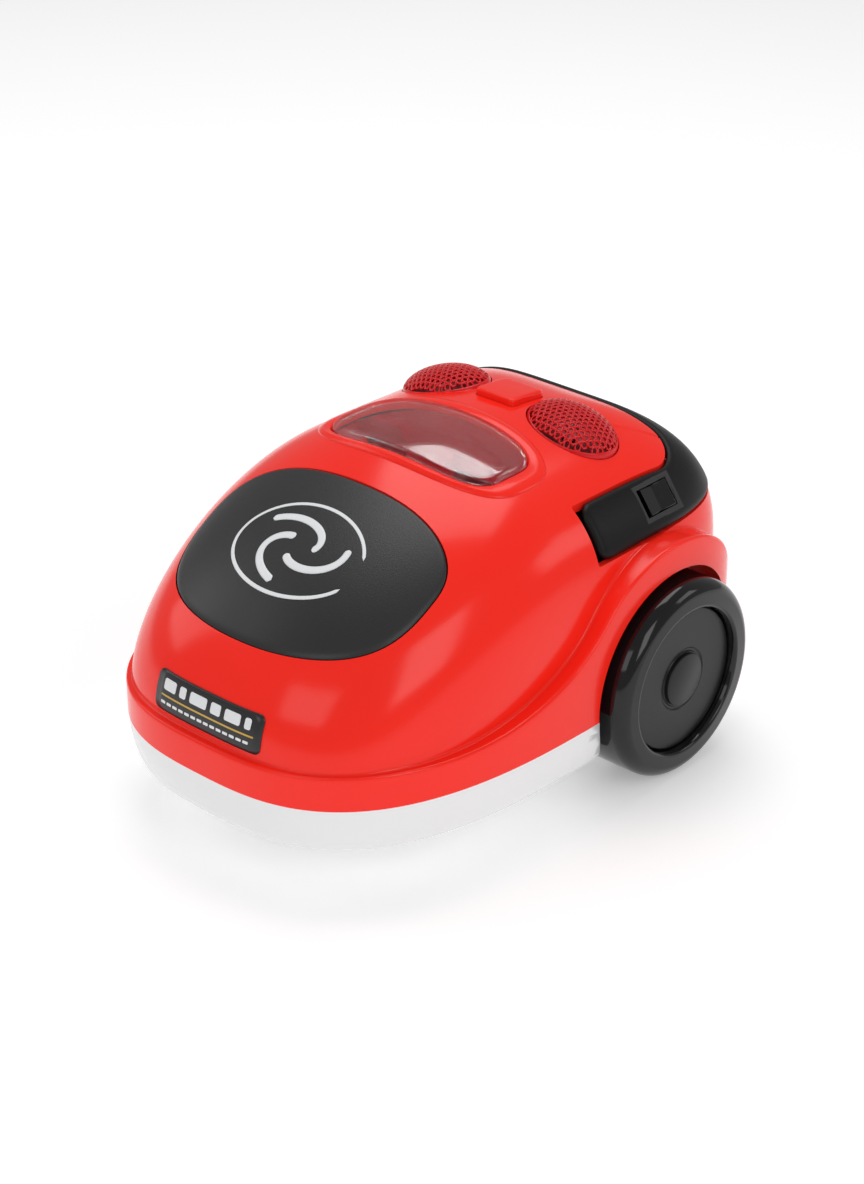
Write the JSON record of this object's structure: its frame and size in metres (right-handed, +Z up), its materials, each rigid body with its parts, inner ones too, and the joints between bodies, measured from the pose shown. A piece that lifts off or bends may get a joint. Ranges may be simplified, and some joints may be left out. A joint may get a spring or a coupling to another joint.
{
  "type": "toy canister vacuum cleaner",
  "caption": "Battery toy canister vacuum cleaner: glossy domed body on a tray, viewing window, lamp grilles, dark rear band with rocker switch, large rear wheels and a caster.",
  "frame": {"origin": "on the floor, below the middle of the body", "axes": "+Z up, +X across the body, the nose towards -Y, the rear axle along X"},
  "size_m": [0.1754, 0.22, 0.1281],
  "materials": {
    "shell_red": "gloss",
    "tray_white": "gloss",
    "band_black": "satin",
    "badge_black": "satin",
    "label_black": "printed",
    "lens_clear": "clear plastic",
    "chamber_red": "dark red",
    "chamber_dark": "dark",
    "mesh_red": "translucent look",
    "reflector_chrome": "plated",
    "lamp_clear": "clear",
    "switch_black": "satin",
    "rocker_black": "gloss",
    "brass": "plain",
    "steel": "plain",
    "tyre_black": "gloss",
    "hub_black": "satin",
    "nylon_white": "plain",
    "caster_black": "plain",
    "cell_green": "wrapped",
    "board_green": "lacquered",
    "inner_black": "plain"
  },
  "bodies": {
    "body": {"axle": "steel", "axle_clip_left": "steel", "axle_clip_right": "steel", "axle_spacer_left": "nylon_white", "axle_spacer_right": "nylon_white", "badge_panel": "badge_black", "base_tray": "tray_white", "battery_1": "cell_green", "battery_2": "cell_green", "battery_3": "cell_green", "battery_4": "cell_green", "battery_door": "tray_white", "board_bracket": "inner_black", "button_spring": "steel", "case_screw_1": "steel", "case_screw_2": "steel", "case_screw_3": "steel", "case_screw_4": "steel", "chamber_bowl": "chamber_red", "chamber_divider": "chamber_dark", "chamber_drum": "chamber_red", "circuit_board": "board_green", "contacts_front": "brass", "contacts_rear": "brass", "door_screw": "steel", "fan_housing": "inner_black", "front_label": "label_black", "lamp_left": "lamp_clear", "lamp_right": "lamp_clear", "mesh_dome_left": "mesh_red", "mesh_dome_right": "mesh_red", "motor_can": "steel", "rear_band": "band_black", "reflector_left": "reflector_chrome", "reflector_right": "reflector_chrome", "speaker": "inner_black", "switch_bezel": "switch_black", "switch_terminals": "brass", "upper_shell": "shell_red", "window_lens": "lens_clear"},
    "wheel_left": {"tyre_left": "tyre_black", "hub_left": "hub_black", "hub_cap_left": "hub_black"},
    "wheel_right": {"tyre_right": "tyre_black", "hub_right": "hub_black", "hub_cap_right": "hub_black"},
    "caster": {"caster_fork": "caster_black", "caster_clip": "steel", "caster_pin": "steel"},
    "roller": {"caster_roller": "nylon_white"},
    "rocker": {"switch_rocker": "rocker_black"},
    "button": {"top_button": "shell_red"},
    "rotor": {"fan": "nylon_white"}
  },
  "joints": [
    {"name": "wheel_spin_left", "type": "hinge", "parent": "body", "child": "wheel_left", "pos_m": [-0.075, 0.049, 0.038], "axis": [1, 0, 0], "continuous": true},
    {"name": "wheel_spin_right", "type": "hinge", "parent": "body", "child": "wheel_right", "pos_m": [0.075, 0.049, 0.038], "axis": [1, 0, 0], "continuous": true},
    {"name": "caster_swivel", "type": "hinge", "parent": "body", "child": "caster", "pos_m": [0, -0.072, 0.016], "axis": [0, 0, 1], "continuous": true},
    {"name": "roller_spin", "type": "hinge", "parent": "caster", "child": "roller", "pos_m": [0, -0.067, 0.007], "axis": [1, 0, 0], "continuous": true},
    {"name": "switch_rock", "type": "hinge", "parent": "body", "child": "rocker", "pos_m": [0.06018, 0.0565, 0.09829], "axis": [-0.5923, 0, 0.8057], "range_deg": [-10, 10]},
    {"name": "button_press", "type": "slide", "parent": "body", "child": "button", "axis": [0, 0, -1], "range_m": [0, 0.002], "stiffness_N_per_m": 300, "springref_m": -0.0015, "deforming": ["button_spring"]},
    {"name": "fan_spin", "type": "hinge", "parent": "body", "child": "rotor", "pos_m": [0, 0.015, 0.061], "axis": [0, 1, 0], "continuous": true}
  ]
}
